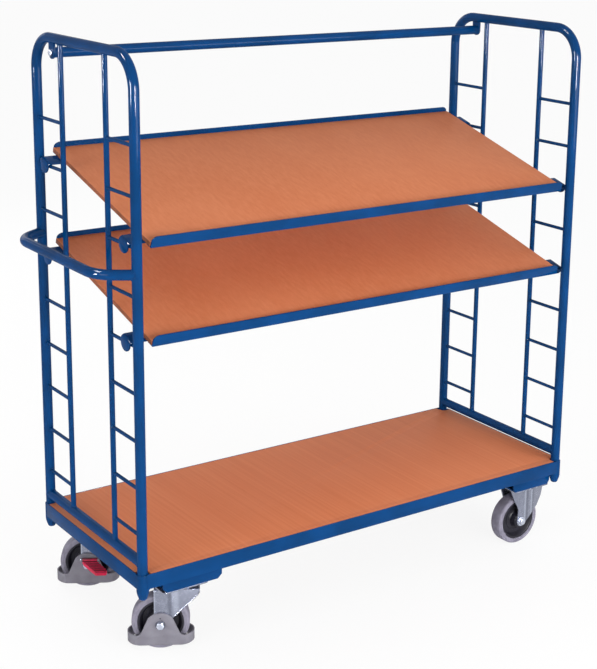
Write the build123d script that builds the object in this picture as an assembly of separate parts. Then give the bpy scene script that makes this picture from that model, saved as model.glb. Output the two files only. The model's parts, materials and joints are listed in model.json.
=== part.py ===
from build123d import *
import math
import os

os.makedirs("parts", exist_ok=True)

# Two-sided shelf trolley, millimetres, floor at z 0, push handle at the left end.
# Every size that more than one piece uses is named here once.

# Casters, from the floor up
WHEEL = 160.0
CASTER_OVER = 35.0
CASTER = WHEEL + CASTER_OVER
AXLE_Z = WHEEL / 2
AXLE = 12.0
TREAD = 16.0
RIM_R = WHEEL / 2 - TREAD
TYRE_HALF = 22.0
BUSH = 24.0
HUB_HALF = 31.0
LEG_IN = HUB_HALF + 0.5
LEG_STEEL = 4.0
LEG_OUT = LEG_IN + LEG_STEEL
GUARD_OUT = LEG_OUT + 4.0
TRAIL = 45.0
TURN = -31.0
PLATE = 4.0
PLATE_LENGTH = 140.0
PLATE_WIDTH = 110.0
HOLE_X = PLATE_LENGTH / 2 - 17.5
HOLE_Y = PLATE_WIDTH / 2 - 15.0
CROWN_TOP = CASTER - 11.0
BALL_Z = CASTER - 7.5
BALL_RING = 24.5
BALL = 6.0
PIN = 16.0

# Brake pedal, its pin above and beside the wheel axle
PEDAL_OUT = GUARD_OUT + 6.5
PEDAL_Z = AXLE_Z + 17.5
PEDAL_PIN = 6.0

# Deck, its height from the casters
SUPPORT_HIGH = 37.5
RAIL_HIGH = 42.0
DECK_BOTTOM = CASTER + SUPPORT_HIGH
DECK_TOP = DECK_BOTTOM + RAIL_HIGH
STEEL = 3.0
FLANGE = 30.0
BOARD = 15.0
FIT = 0.05

# Tubes of the frame
TUBE = 28.0
WALL = 2.0
POST_X = 742.5
POST_Y = 284.75
BEND = 90.0
TOP_Z = 1641.5
UPRIGHT = 15.0
UPRIGHT_Y = 129.5
CROSSBAR_Z = DECK_TOP + 27.5
RUNG = 10.0
RUNG_Z0 = CROSSBAR_Z + 75.5
RUNG_STEP = 130.0
RUNG_CLEAR = 180.0
RUNG_COUNT = int((TOP_Z - RUNG_CLEAR - RUNG_Z0) // RUNG_STEP) + 1

# Corner sockets, and the deck outline that is flush with them
SOCKET_WALL = 3.0
SOCKET = TUBE + 2 * SOCKET_WALL
SOCKET_BOTTOM = DECK_BOTTOM - 34.0
SOCKET_TOP = DECK_TOP - 2.5
SOCKET_FLOOR = SOCKET_BOTTOM + 11.5
DECK_X = POST_X + SOCKET / 2
DECK_Y = POST_Y + SOCKET / 2
SUPPORT_INSET = 20.75
CASTER_Y = DECK_Y - SUPPORT_INSET - PLATE_WIDTH / 2
SWIVEL_INSET = 152.5
SWIVEL_X = SWIVEL_INSET - DECK_X
FIXED_INSET = 130.5
FIXED_X = DECK_X - FIXED_INSET
FIXED_LEAD = 26.0
FIXED_PLATE_X = FIXED_X + FIXED_LEAD

# Push handle and top rail
HANDLE_Z = 1090.0
HANDLE_REACH = 88.5
HANDLE_X = -POST_X - HANDLE_REACH
HANDLE_ANGLE = 33.0
HANDLE_BEND = 85.0
RAIL_Y = POST_Y - BEND - 14.75
RAIL_DROP = 39.0
RAIL_Z = TOP_Z - RAIL_DROP
TAB = 5.0
TAB_WIDTH = TUBE + 6.0

# Shelves: the hooks stand clear of the posts, and the rims stand outside the hooks
STRAP_WIDTH = 50.0
HOOK_GAP = 13.7
HOOK_Y = POST_Y - TUBE / 2 - HOOK_GAP - STRAP_WIDTH / 2
HOOK_U = math.hypot(HOOK_Y, RUNG_STEP / 2)
TILT = math.degrees(math.asin(RUNG_STEP / (2 * HOOK_U)))
SHELF_GAP = 36.5
SHELF_BOARD_HALF = POST_X - SHELF_GAP
SHELF_THICK = 12.0
RIM_HALF = SHELF_BOARD_HALF - 2.0
LEDGE = 26.0
RIM_U = HOOK_U + STRAP_WIDTH / 2 + 3.0 + LEDGE
RIM_STEEL = 4.0
HOOK_R = RUNG / 2 + 2.0
HOOK_PLATE = RUNG / 2 + 2.5
SEAT = 0.3
# The strap is tilted with the shelf and the rung is level, so the strap's lower edge is what rests on it.
RUNG_RISE = STRAP_WIDTH / 2 * math.tan(math.radians(TILT))
RIM_LOW = RUNG_RISE + RUNG / 2 / math.cos(math.radians(TILT)) + SEAT
BOARD_LOW = RIM_LOW + RIM_STEEL
RIM_HIGH = BOARD_LOW + SHELF_THICK + 14.5

# The handle reaches past the left end, so the whole model moves right to centre its outline on zero.
SHIFT = (-(HANDLE_X - TUBE / 2) - DECK_X) / 2


def emit(name, shapes):
    solids = []
    for shape in shapes:
        solids.extend(shape.solids())
    if len(solids) == 1:
        body = solids[0]
    else:
        body = Compound(solids)
    body = Pos(SHIFT, 0, 0) * body
    body.label = name
    export_step(body, "parts/" + name + ".step")
    print(name, len(solids), round(sum(s.volume for s in solids)))


def rod(start, end, diameter):
    line = Line(start, end)
    plane = Plane(origin=line @ 0, z_dir=line % 0)
    return extrude(plane * Circle(diameter / 2), amount=line.length)


def pipe(start, end, diameter, wall):
    line = Line(start, end)
    plane = Plane(origin=line @ 0, z_dir=line % 0)
    ring = Circle(diameter / 2) - Circle(diameter / 2 - wall)
    return extrude(plane * ring, amount=line.length)


def bent_tube(points, radius):
    path = FilletPolyline(*points, radius=radius)
    plane = Plane(origin=path @ 0, z_dir=path % 0)
    ring = Circle(TUBE / 2) - Circle(TUBE / 2 - WALL)
    return sweep(plane * ring, path=path)


def bent_core(points, radius):
    # the same bend filled solid, to cut the pieces that meet it
    path = FilletPolyline(*points, radius=radius)
    plane = Plane(origin=path @ 0, z_dir=path % 0)
    return sweep(plane * Circle(TUBE / 2), path=path)


def block(x0, x1, y0, y1, z0, z1):
    return Pos((x0 + x1) / 2, (y0 + y1) / 2, (z0 + z1) / 2) * Box(x1 - x0, y1 - y0, z1 - z0)


def turned(points):
    # solid of revolution about z from points of radius and height
    wire = Polyline(*[(r, 0, z) for r, z in points], close=True)
    return revolve(make_face(wire), axis=Axis.Z, revolution_arc=360)


def hex_head(flats, height, edge=1.0):
    # hexagon on z 0 upward, its far corners eased
    corner = flats / 2 / math.cos(math.radians(30))
    prism = extrude(RegularPolygon(corner, 6), amount=height)
    top = corner - 1.8 * edge
    cap = turned([(0, 0), (corner, 0), (corner, height - edge), (top, height), (0, height)])
    return prism & cap


def outline_xz(edges, y0, y1):
    # face drawn in x and z, thickened from y0 to y1
    face = make_face(edges)
    return Pos(0, y0, 0) * extrude(face, amount=y1 - y0, dir=(0, 1, 0))


def polygon_xz(points, y0, y1):
    wire = Polyline(*[(x, 0, z) for x, z in points], close=True)
    return outline_xz(wire, y0, y1)


# End frames
ENDS = [("left", -POST_X), ("right", POST_X)]
posts = {}
for side in (-1, 1):
    for face in (-1, 1):
        start = (side * POST_X, face * POST_Y, SOCKET_BOTTOM)
        posts[(side, face)] = rod(start, (start[0], start[1], TOP_Z - BEND), TUBE)

top_tubes = {}
for name, x in ENDS:
    corners = [
        (x, -POST_Y, SOCKET_FLOOR),
        (x, -POST_Y, TOP_Z),
        (x, POST_Y, TOP_Z),
        (x, POST_Y, SOCKET_FLOOR),
    ]
    emit(name + "_end_tube", [bent_tube(corners, BEND)])
    top_tubes[name] = bent_core(corners, BEND)

crossbars = []
uprights = []
for name, x in ENDS:
    side = -1 if x < 0 else 1
    bar = pipe((x, -POST_Y, CROSSBAR_Z), (x, POST_Y, CROSSBAR_Z), TUBE, WALL)
    crossbars.append(bar - posts[(side, -1)] - posts[(side, 1)])
    solid_bar = rod((x, -POST_Y, CROSSBAR_Z), (x, POST_Y, CROSSBAR_Z), TUBE)
    rungs = []
    for face in (-1, 1):
        y = face * UPRIGHT_Y
        upright = pipe((x, y, CROSSBAR_Z), (x, y, TOP_Z), UPRIGHT, 1.5)
        uprights.append(upright - solid_bar - top_tubes[name])
        core = rod((x, y, CROSSBAR_Z), (x, y, TOP_Z), UPRIGHT)
        for step in range(RUNG_COUNT):
            z = RUNG_Z0 + step * RUNG_STEP
            rung = rod((x, y, z), (x, face * POST_Y, z), RUNG)
            rungs.append(rung - core - posts[(side, face)])
    emit(name + "_rungs", rungs)
emit("end_crossbars", crossbars)
emit("inner_uprights", uprights)

# Top rail, its plugged ends, brackets and bolts
rail = pipe((-POST_X + TAB / 2, RAIL_Y, RAIL_Z), (POST_X - TAB / 2, RAIL_Y, RAIL_Z), TUBE, WALL)
tabs = []
bolts = []
for name, x in ENDS:
    side = -1 if x < 0 else 1
    inner = x - side * TAB / 2
    outer = x + side * TAB / 2
    plug = rod((inner, RAIL_Y, RAIL_Z), (inner - side * 22, RAIL_Y, RAIL_Z), TUBE - WALL)
    rail = rail + plug
    x0, x1 = sorted((inner, outer))
    tab = block(x0, x1, RAIL_Y - TAB_WIDTH / 2, RAIL_Y + TAB_WIDTH / 2, RAIL_Z, TOP_Z - 2)
    tab = tab + rod((x0, RAIL_Y, RAIL_Z), (x1, RAIL_Y, RAIL_Z), TAB_WIDTH)
    tab = tab - rod((x0 - 1, RAIL_Y, RAIL_Z), (x1 + 1, RAIL_Y, RAIL_Z), 10.5)
    tabs.append(tab - top_tubes[name])
    shank = rod((outer, RAIL_Y, RAIL_Z), (inner - side * 16, RAIL_Y, RAIL_Z), 10)
    rail = rail - rod((inner, RAIL_Y, RAIL_Z), (inner - side * 17, RAIL_Y, RAIL_Z), 10 + 2 * FIT)
    head = Pos(outer, RAIL_Y, RAIL_Z) * Rot(0, side * 90, 0) * hex_head(17, 6.4)
    bolts.append(shank + head)
emit("top_rail", [rail])
emit("rail_brackets", tabs)
emit("rail_bolts", bolts)

# Push handle
lean = math.radians(HANDLE_ANGLE)
reach = (-HANDLE_X - POST_X) / math.cos(lean)
corner_y = POST_Y - reach * math.sin(lean)
inset_x = -POST_X - 0.5 * math.cos(lean)
inset_y = POST_Y - 0.5 * math.sin(lean)
handle = bent_tube(
    [
        (inset_x, -inset_y, HANDLE_Z),
        (HANDLE_X, -corner_y, HANDLE_Z),
        (HANDLE_X, corner_y, HANDLE_Z),
        (inset_x, inset_y, HANDLE_Z),
    ],
    HANDLE_BEND,
)
for face in (-1, 1):
    low = (-POST_X, face * POST_Y, HANDLE_Z - 60)
    high = (-POST_X, face * POST_Y, HANDLE_Z + 60)
    handle = handle - rod(low, high, TUBE + 0.04)
emit("push_handle", [handle])

# Corner sockets
R = SOCKET / 2
profile = [
    (0, SOCKET_BOTTOM),
    (R - 10, SOCKET_BOTTOM),
    (R - 7.6, SOCKET_BOTTOM + 1.2),
    (R - 5.8, SOCKET_BOTTOM + 4),
    (R - 2.4, SOCKET_BOTTOM + 14),
    (R - 0.7, SOCKET_BOTTOM + 20),
    (R, SOCKET_BOTTOM + 26),
    (R, SOCKET_TOP),
    (TUBE / 2 + FIT, SOCKET_TOP),
    (TUBE / 2 + FIT, SOCKET_FLOOR),
    (0, SOCKET_FLOOR),
]
socket = turned(profile)
sockets = []
corners = []
for sx in (-1, 1):
    for sy in (-1, 1):
        sockets.append(Pos(sx * POST_X, sy * POST_Y, 0) * socket)
        low = (sx * POST_X, sy * POST_Y, SOCKET_BOTTOM - 10)
        high = (sx * POST_X, sy * POST_Y, DECK_TOP + 10)
        corners.append(rod(low, high, SOCKET))
emit("corner_sockets", sockets)


def less_corners(shape):
    for corner in corners:
        shape = shape - corner
    return shape


# Deck rails: web outside, flange inward at the bottom
END = 5.0
for name, sy in (("front", -1), ("rear", 1)):
    ya, yb = sorted((sy * DECK_Y, sy * (DECK_Y - STEEL)))
    web = block(-POST_X + END, POST_X - END, ya, yb, DECK_BOTTOM, DECK_TOP)
    ya, yb = sorted((sy * DECK_Y, sy * (DECK_Y - FLANGE)))
    flange = block(-POST_X + END, POST_X - END, ya, yb, DECK_BOTTOM, DECK_BOTTOM + STEEL)
    emit("deck_" + name + "_rail", [less_corners(web + flange)])
for name, sx in (("left", -1), ("right", 1)):
    xa, xb = sorted((sx * DECK_X, sx * (DECK_X - STEEL)))
    web = block(xa, xb, -POST_Y + END, POST_Y - END, DECK_BOTTOM, DECK_TOP)
    xa, xb = sorted((sx * DECK_X, sx * (DECK_X - FLANGE)))
    half = DECK_Y - FLANGE
    flange = block(xa, xb, -half, half, DECK_BOTTOM, DECK_BOTTOM + STEEL)
    emit("deck_" + name + "_rail", [less_corners(web + flange)])

# Cross members stand on the rail flanges and carry the board: one inside each end, one over each
# pair of casters and two between
BOARD_BOTTOM = DECK_TOP - BOARD
MEMBER = 25.0
MEMBER_INSET = 38.5
MEMBER_SPREAD = 200.0
MIDDLE_X = (SWIVEL_X + FIXED_X) / 2
member_places = [MEMBER_INSET - POST_X, SWIVEL_X, MIDDLE_X - MEMBER_SPREAD]
member_places += [MIDDLE_X + MEMBER_SPREAD, FIXED_PLATE_X, POST_X - MEMBER_INSET]
members = []
for x in member_places:
    half = DECK_Y - STEEL
    low = DECK_BOTTOM + STEEL
    hollow = MEMBER / 2 - 2
    outside = block(x - MEMBER / 2, x + MEMBER / 2, -half, half, low, BOARD_BOTTOM)
    inside = block(x - hollow, x + hollow, -half, half, low + 2, BOARD_BOTTOM - 2)
    members.append(outside - inside)
emit("deck_cross_members", members)

# Deck board, notched round the corner sockets
GAP = 0.5
board_x = DECK_X - STEEL - GAP
board_y = DECK_Y - STEEL - GAP
board = block(-board_x, board_x, -board_y, board_y, BOARD_BOTTOM, DECK_TOP)
notch = SOCKET / 2 + 0.6
below = BOARD_BOTTOM - 10
above = DECK_TOP + 10
for sx in (-1, 1):
    for sy in (-1, 1):
        cx = sx * POST_X
        cy = sy * POST_Y
        board = board - rod((cx, cy, below), (cx, cy, above), 2 * notch)
        xa, xb = sorted((cx, cx + sx * 2 * notch))
        ya, yb = sorted((cy - sy * notch, cy + sy * 2 * notch))
        board = board - block(xa, xb, ya, yb, below, above)
        xa, xb = sorted((cx - sx * notch, cx + sx * 2 * notch))
        ya, yb = sorted((cy, cy + sy * 2 * notch))
        board = board - block(xa, xb, ya, yb, below, above)
emit("deck_board", [board])

# Folded supports under the deck, one for each caster, with slanted lower corners
BOLT = 8.0
SUPPORT_STEEL = 4.0
holes = []
for sx in (-1, 1):
    for sy in (-1, 1):
        holes.append((sx * HOLE_X, sy * HOLE_Y))


def support(x0, x1, plate_x, face, slant):
    y_out = face * (CASTER_Y + PLATE_WIDTH / 2)
    y_in = face * (CASTER_Y - PLATE_WIDTH / 2)
    ya, yb = sorted((y_out, y_in))
    tray = block(x0 + slant, x1 - slant, ya, yb, CASTER, CASTER + SUPPORT_STEEL)
    rise = CASTER + 12
    side = [(x0, rise), (x0 + slant, CASTER), (x1 - slant, CASTER), (x1, rise)]
    outer = side + [(x1, DECK_BOTTOM), (x0, DECK_BOTTOM)]
    inner = side + [(x1, DECK_BOTTOM + STEEL), (x0, DECK_BOTTOM + STEEL)]
    y0, y1 = sorted((y_out, y_out - face * SUPPORT_STEEL))
    tray = tray + polygon_xz(outer, y0, y1)
    y0, y1 = sorted((y_in, y_in + face * SUPPORT_STEEL))
    tray = tray + polygon_xz(inner, y0, y1)
    for hx, hy in holes:
        x = plate_x + hx
        y = face * CASTER_Y + hy
        tray = tray - rod((x, y, CASTER - 10), (x, y, CASTER + 10), BOLT + 1)
    return tray


supports = []
caster_bolts = []
caster_nuts = []
bolt = Pos(0, 0, CASTER - PLATE) * Rot(180, 0, 0) * hex_head(13, 5, 0.8)
bolt = bolt + rod((0, 0, CASTER - PLATE - 1), (0, 0, CASTER + 13), BOLT)
nut = Pos(0, 0, CASTER + SUPPORT_STEEL) * hex_head(13, 6.5, 0.8)
nut = nut - rod((0, 0, CASTER), (0, 0, CASTER + 16), BOLT + 2 * FIT)
plate_half = PLATE_LENGTH / 2
places = [(SWIVEL_X - plate_half - 2, SWIVEL_X + plate_half + 41, SWIVEL_X, 13)]
places.append((FIXED_PLATE_X - plate_half - 12, FIXED_PLATE_X + plate_half, FIXED_PLATE_X, 8))
for face in (-1, 1):
    for x0, x1, plate_x, slant in places:
        supports.append(support(x0, x1, plate_x, face, slant))
        for hx, hy in holes:
            place = Pos(plate_x + hx, face * CASTER_Y + hy, 0)
            caster_bolts.append(place * bolt)
            caster_nuts.append(place * nut)
emit("caster_supports", supports)
emit("caster_bolts", caster_bolts)
emit("caster_nuts", caster_nuts)


# Top plate that both kinds of caster share
def top_plate():
    plate = extrude(RectangleRounded(PLATE_LENGTH, PLATE_WIDTH, 10), amount=PLATE)
    plate = Pos(0, 0, CASTER - PLATE) * plate
    for hx, hy in holes:
        plate = plate - rod((hx, hy, CASTER - 10), (hx, hy, CASTER + 10), BOLT + 1)
    return plate


# Swivel head, drawn about its own axis, then set in place
RACE_IN = BALL_RING - 6.5
RACE_OUT = BALL_RING + 6.5
groove = Pos(0, 0, BALL_Z) * Torus(BALL_RING, BALL / 2 + FIT)
wide_groove = Pos(0, 0, BALL_Z) * Torus(BALL_RING, BALL / 2 + 0.3)
race_z = BALL_Z + 1
under = CASTER - PLATE
upper_race = turned([(RACE_IN, race_z), (RACE_OUT, race_z), (RACE_OUT, under), (RACE_IN, under)]) - groove
swivel_plate = top_plate() - rod((0, 0, CASTER - 10), (0, 0, CASTER + 10), PIN) + upper_race
pin_low = CROWN_TOP - 12
pin_rim = CROWN_TOP - 5.3
kingpin = rod((0, 0, pin_low - 5), (0, 0, CASTER), PIN)
collar = [(0, pin_low), (PIN - 2, pin_low), (PIN, pin_low + 2), (PIN, pin_rim), (0, pin_rim)]
kingpin = kingpin + turned(collar)
ball_ring = []
for i in range(18):
    angle = math.radians(20 * i)
    ball = Pos(BALL_RING * math.cos(angle), BALL_RING * math.sin(angle), BALL_Z) * Sphere(BALL / 2)
    ball_ring.append(ball)


def fork_outline():
    # side view of one fork leg from the axle, seen square on
    a = -TRAIL
    lines = Polyline((a - 17, 0, CROWN_TOP), (a - 17, 0, AXLE_Z))
    lines += ThreePointArc((a - 17, 0, AXLE_Z), (a, 0, AXLE_Z - 17), (a + 17, 0, AXLE_Z))
    wing = CROWN_TOP - 18
    lines += Polyline((a + 17, 0, AXLE_Z), (a + 36, 0, AXLE_Z + 20), (a + 103, 0, wing))
    lines += ThreePointArc((a + 103, 0, wing), (a + 107.2, 0, wing + 7), (a + 108, 0, wing + 13))
    lines += Polyline((a + 108, 0, wing + 13), (a + 108, 0, CROWN_TOP), (a - 17, 0, CROWN_TOP))
    return lines


def plan_outline(wide, narrow, start, end):
    points = [(start, -wide), (-16, -wide), (-7, -narrow), (end, -narrow)]
    points += [(end, narrow), (-7, narrow), (-16, wide), (start, wide)]
    return make_face(Polyline(*[(x, y, 0) for x, y in points], close=True))


shell = extrude(plan_outline(LEG_OUT, LEG_OUT - 2, -TRAIL - 17, 70), amount=CASTER)
shell = shell & outline_xz(fork_outline(), -LEG_OUT - 10, LEG_OUT + 10)
arch_face = Plane.YZ * (Pos(0, CROWN_TOP / 2) * RectangleRounded(2 * LEG_OUT, CROWN_TOP, 8))
arch = extrude(arch_face, amount=120, both=True)
shell = shell & arch
hollow = extrude(plan_outline(LEG_IN, LEG_IN - 2, -TRAIL - 30, 90), amount=CROWN_TOP - 5)
fork = shell - hollow
race_z = BALL_Z - 1
seat_z = CROWN_TOP - 1
fork = fork + turned([(RACE_IN, seat_z), (RACE_OUT, seat_z), (RACE_OUT, race_z), (RACE_IN, race_z)])
fork = fork - wide_groove
fork = fork - rod((0, 0, CROWN_TOP - 10), (0, 0, CASTER), PIN + 0.16)
fork = fork - rod((-TRAIL, -60, AXLE_Z), (-TRAIL, 60, AXLE_Z), AXLE + 0.6)


# Foot guard, drawn about the wheel axle
GUARD_LOW = 18.5
GUARD_HIGH = 48.5
GUARD_HALF = WHEEL / 2 + 12


def hump_outline():
    high = GUARD_HIGH
    top = AXLE_Z + 35
    bend = top - 16
    lines = Polyline((-66, 0, high - 6), (-66, 0, high))
    lines += ThreePointArc((-66, 0, high), (-57.5, 0, high + 2.8), (-52, 0, high + 9))
    lines += Line((-52, 0, high + 9), (-34, 0, bend))
    lines += ThreePointArc((-34, 0, bend), (0, 0, top), (34, 0, bend))
    lines += Line((34, 0, bend), (52, 0, high + 9))
    lines += ThreePointArc((52, 0, high + 9), (57.5, 0, high + 2.8), (66, 0, high))
    lines += Polyline((66, 0, high), (66, 0, high - 6), (-66, 0, high - 6))
    return lines


def guard(side):
    tall = GUARD_HIGH - GUARD_LOW
    ring = extrude(SlotOverall(2 * GUARD_HALF, 2 * GUARD_OUT), amount=tall)
    ring = chamfer(ring.edges().group_by(Axis.Z)[0], 2.5)
    ring = ring - extrude(SlotOverall(2 * GUARD_HALF - 8, 2 * LEG_OUT), amount=tall)
    shape = Pos(0, 0, GUARD_LOW) * ring
    for face in (-1, 1):
        y0, y1 = sorted((face * LEG_OUT, face * GUARD_OUT))
        shape = shape + outline_xz(hump_outline(), y0, y1)
    for s in (-16.0, 32.2):
        foot = AXLE_Z + 9.5
        ear = [(s, foot), (s + 4, foot), (s + 4, PEDAL_Z), (s, PEDAL_Z)]
        y0, y1 = sorted((side * LEG_OUT, side * PEDAL_OUT))
        shape = shape + polygon_xz(ear, y0, y1)
        shape = shape + rod((s, side * PEDAL_OUT, PEDAL_Z), (s + 4, side * PEDAL_OUT, PEDAL_Z), 13)
    for face in (-1, 1):
        near = face * (LEG_OUT - 5)
        far = face * (GUARD_OUT + 1.5)
        shape = shape - rod((0, near, AXLE_Z), (0, far, AXLE_Z), AXLE + 0.6)
    pin_y = side * PEDAL_OUT
    shape = shape - rod((-20, pin_y, PEDAL_Z), (40, pin_y, PEDAL_Z), PEDAL_PIN + 2 * FIT)
    return shape


def pedal_pin(side):
    y = side * PEDAL_OUT
    pin = rod((-16.6, y, PEDAL_Z), (36.8, y, PEDAL_Z), PEDAL_PIN)
    return pin + rod((-18, y, PEDAL_Z), (-16, y, PEDAL_Z), 9) + rod((36.2, y, PEDAL_Z), (38.2, y, PEDAL_Z), 9)


def pedal(side):
    # barrel on the pin and a slanted tread with ribs across it
    y = side * PEDAL_OUT
    shape = rod((-11.5, y, PEDAL_Z), (31.7, y, PEDAL_Z), 10)
    slope = math.degrees(math.atan2(18, 52))
    near = side * (PEDAL_OUT - 2)
    bend = side * (PEDAL_OUT + 8.5)
    far = side * (PEDAL_OUT + 52)
    corners_xy = [(-11.5, near), (31.7, near), (31.7, bend), (70, far), (30, far), (-11.5, bend)]
    face = make_face(Polyline(*[(a, b, 0) for a, b in corners_xy], close=True))
    prism = extrude(face, amount=80)
    prism = fillet(prism.edges().filter_by(Axis.Z).group_by(Axis.Y)[0 if side < 0 else -1], 6)
    prism = Pos(0, 0, PEDAL_Z - 51) * prism
    tread = Box(120, 70, 9)
    for i in range(5):
        tread = tread + Pos(0, side * (-16 + 9 * i), 5) * Box(120, 3.6, 2.6)
    tread = Pos(30, side * (PEDAL_OUT + 26), PEDAL_Z - 12.5) * Rot(-side * slope, 0, 0) * tread
    shape = shape + (tread & prism)
    # the tread is hollowed underneath round the nut of the wheel axle
    shape = shape - rod((0, side * GUARD_OUT, AXLE_Z), (0, side * (GUARD_OUT + 18), AXLE_Z), 27)
    keep = rod((-40, y, PEDAL_Z), (90, y, PEDAL_Z), PEDAL_PIN + 0.16)
    return shape - keep


# Axle bolt with washers and nut, drawn along y through the origin
def axle_set(reach, side):
    washer = 2.5
    shapes = []
    for face in (-1, 1):
        y0 = face * reach
        y1 = face * (reach + washer)
        disc = rod((0, y0, 0), (0, y1, 0), 28) - rod((0, y0, 0), (0, y1, 0), AXLE + 0.6)
        shapes.append(disc)
    end = reach + washer
    bolt = rod((0, side * end, 0), (0, -side * (end + 11), 0), AXLE)
    head = Pos(0, side * end, 0) * Rot(-side * 90, 0, 0) * hex_head(19, 7.5)
    shapes.append(bolt + head)
    nut = Pos(0, -side * end, 0) * Rot(side * 90, 0, 0) * hex_head(19, 9)
    shapes.append(nut - rod((0, -60, 0), (0, 60, 0), AXLE + 2 * FIT))
    return shapes


# Wheel, drawn with its axle along z, then laid over
hub = turned(
    [
        (BUSH / 2 + 0.02, -HUB_HALF + 0.5),
        (20, -HUB_HALF + 0.5),
        (22, -6),
        (RIM_R - 16, -4),
        (RIM_R - 9, 3 - TYRE_HALF),
        (RIM_R - 1.5, 1.5 - TYRE_HALF),
        (RIM_R, 3 - TYRE_HALF),
        (RIM_R, TYRE_HALF - 3),
        (RIM_R - 1.5, TYRE_HALF - 1.5),
        (RIM_R - 9, TYRE_HALF - 3),
        (RIM_R - 16, 4),
        (22, 6),
        (20, HUB_HALF - 0.5),
        (BUSH / 2 + 0.02, HUB_HALF - 0.5),
    ]
)
tread = rod((0, 0, -TYRE_HALF), (0, 0, TYRE_HALF), WHEEL)
tread = fillet(tread.edges(), 7)
tread = tread - rod((0, 0, -TYRE_HALF - 8), (0, 0, TYRE_HALF + 8), 2 * RIM_R + 0.04)
bush = rod((0, 0, -HUB_HALF), (0, 0, HUB_HALF), BUSH) - rod((0, 0, -HUB_HALF), (0, 0, HUB_HALF), AXLE + 0.12)
lay = Rot(90, 0, 0)
lift = Pos(0, 0, AXLE_Z)

plates = []
pins = []
balls = []
for name, y, side in (("front", -CASTER_Y, 1), ("rear", CASTER_Y, -1)):
    head_place = Pos(SWIVEL_X, y, 0) * Rot(0, 0, TURN)
    axle_place = head_place * Pos(-TRAIL, 0, 0)
    plates.append(Pos(SWIVEL_X, y, 0) * swivel_plate)
    pins.append(Pos(SWIVEL_X, y, 0) * kingpin)
    balls.extend([Pos(SWIVEL_X, y, 0) * ball for ball in ball_ring])
    emit(name + "_swivel_fork", [head_place * fork])
    emit(name + "_swivel_guard", [axle_place * guard(side)])
    emit(name + "_swivel_axle", [axle_place * lift * s for s in axle_set(GUARD_OUT, -1 if y < 0 else 1)])
    emit(name + "_pedal_pin", [axle_place * pedal_pin(side)])
    emit(name + "_brake_pedal", [axle_place * pedal(side)])
    emit(name + "_swivel_hub", [axle_place * lift * lay * hub])
    emit(name + "_swivel_tyre", [axle_place * lift * lay * tread])
    emit(name + "_swivel_bearing", [axle_place * lift * lay * bush])
emit("swivel_plates", plates)
emit("swivel_kingpins", pins)
emit("swivel_balls", balls)

# Fixed fork: pressed legs with their edges bent in, narrowing to the axle
AX = FIXED_X - FIXED_PLATE_X
END_X = PLATE_LENGTH / 2 - 1
TOP = CASTER - 2
legs = Polyline((-END_X, 0, TOP), (-39, 0, AXLE_Z + 40), (AX - 17, 0, AXLE_Z + 2))
legs += ThreePointArc((AX - 17, 0, AXLE_Z + 2), (AX + 1, 0, AXLE_Z - 17.5), (AX + 18, 0, AXLE_Z - 7))
legs += Polyline((AX + 18, 0, AXLE_Z - 7), (44, 0, AXLE_Z + 38), (62, 0, AXLE_Z + 68), (END_X, 0, TOP - 18))
legs += Polyline((END_X, 0, TOP - 18), (END_X, 0, TOP), (-END_X, 0, TOP))


def leg_plan(out):
    low = out - 9
    points = [(-END_X - 1, low), (-50, out - 5.2), (-45, out)]
    points += [(4, out), (16, out - 1.6), (END_X + 1, low)]
    points += [(x, -y) for x, y in reversed(points)]
    return make_face(Polyline(*[(x, y, 0) for x, y in points], close=True))


fixed_fork = extrude(leg_plan(LEG_OUT), amount=CASTER - PLATE)
fixed_fork = fixed_fork - extrude(leg_plan(LEG_IN), amount=CASTER - PLATE)
fixed_fork = fixed_fork & outline_xz(legs, -LEG_OUT - 10, LEG_OUT + 10)
open_y = LEG_IN - 9.5
ends = block(-END_X - 2, -30, -open_y, open_y, 0, CASTER - PLATE)
ends = ends + block(30, END_X + 2, -open_y, open_y, 0, CASTER - PLATE)
fixed_fork = fixed_fork - ends + top_plate()
fixed_fork = fixed_fork - rod((AX, -60, AXLE_Z), (AX, 60, AXLE_Z), AXLE + 0.6)
fixed_axles = []
for name, y in (("front", -CASTER_Y), ("rear", CASTER_Y)):
    emit(name + "_fixed_fork", [Pos(FIXED_PLATE_X, y, 0) * fixed_fork])
    place = Pos(FIXED_X, y, AXLE_Z)
    fixed_axles.extend([place * s for s in axle_set(LEG_OUT, -1 if y < 0 else 1)])
    emit(name + "_fixed_hub", [place * lay * hub])
    emit(name + "_fixed_tyre", [place * lay * tread])
    emit(name + "_fixed_bearing", [place * lay * bush])
emit("fixed_axles", fixed_axles)

# Shelves, drawn flat about the middle between their two rungs, then tilted
arc_z = RIM_LOW - HOOK_R
plate_x = POST_X + HOOK_PLATE
arc_x = plate_x - HOOK_R
CROSS_X = SHELF_BOARD_HALF - 46.0
CROSS_WIDTH = 36.0
SCREW = 5.0
SCREWS = []
for sx in (-1, 1):
    for u in (71 - HOOK_U, 0, HOOK_U - 71):
        SCREWS.append((sx * CROSS_X, u))


def rim(side):
    web = block(-RIM_HALF, RIM_HALF, RIM_U - RIM_STEEL, RIM_U, RIM_LOW, RIM_HIGH)
    trim = [(-RIM_HALF, RIM_HIGH - 38), (-RIM_HALF, RIM_HIGH - 23), (-RIM_HALF + 1.5, RIM_HIGH - 9)]
    trim += [(-RIM_HALF + 7, RIM_HIGH - 3), (-RIM_HALF + 14, RIM_HIGH)]
    trim += [(x * -1, z) for x, z in reversed(trim)]
    web = web & polygon_xz(trim, 0, RIM_U + 10)
    ledge = block(-RIM_HALF, RIM_HALF, RIM_U - LEDGE, RIM_U, RIM_LOW, RIM_LOW + RIM_STEEL)
    shape = web + ledge
    if side < 0:
        shape = Rot(0, 0, 180) * shape
    return shape


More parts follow.
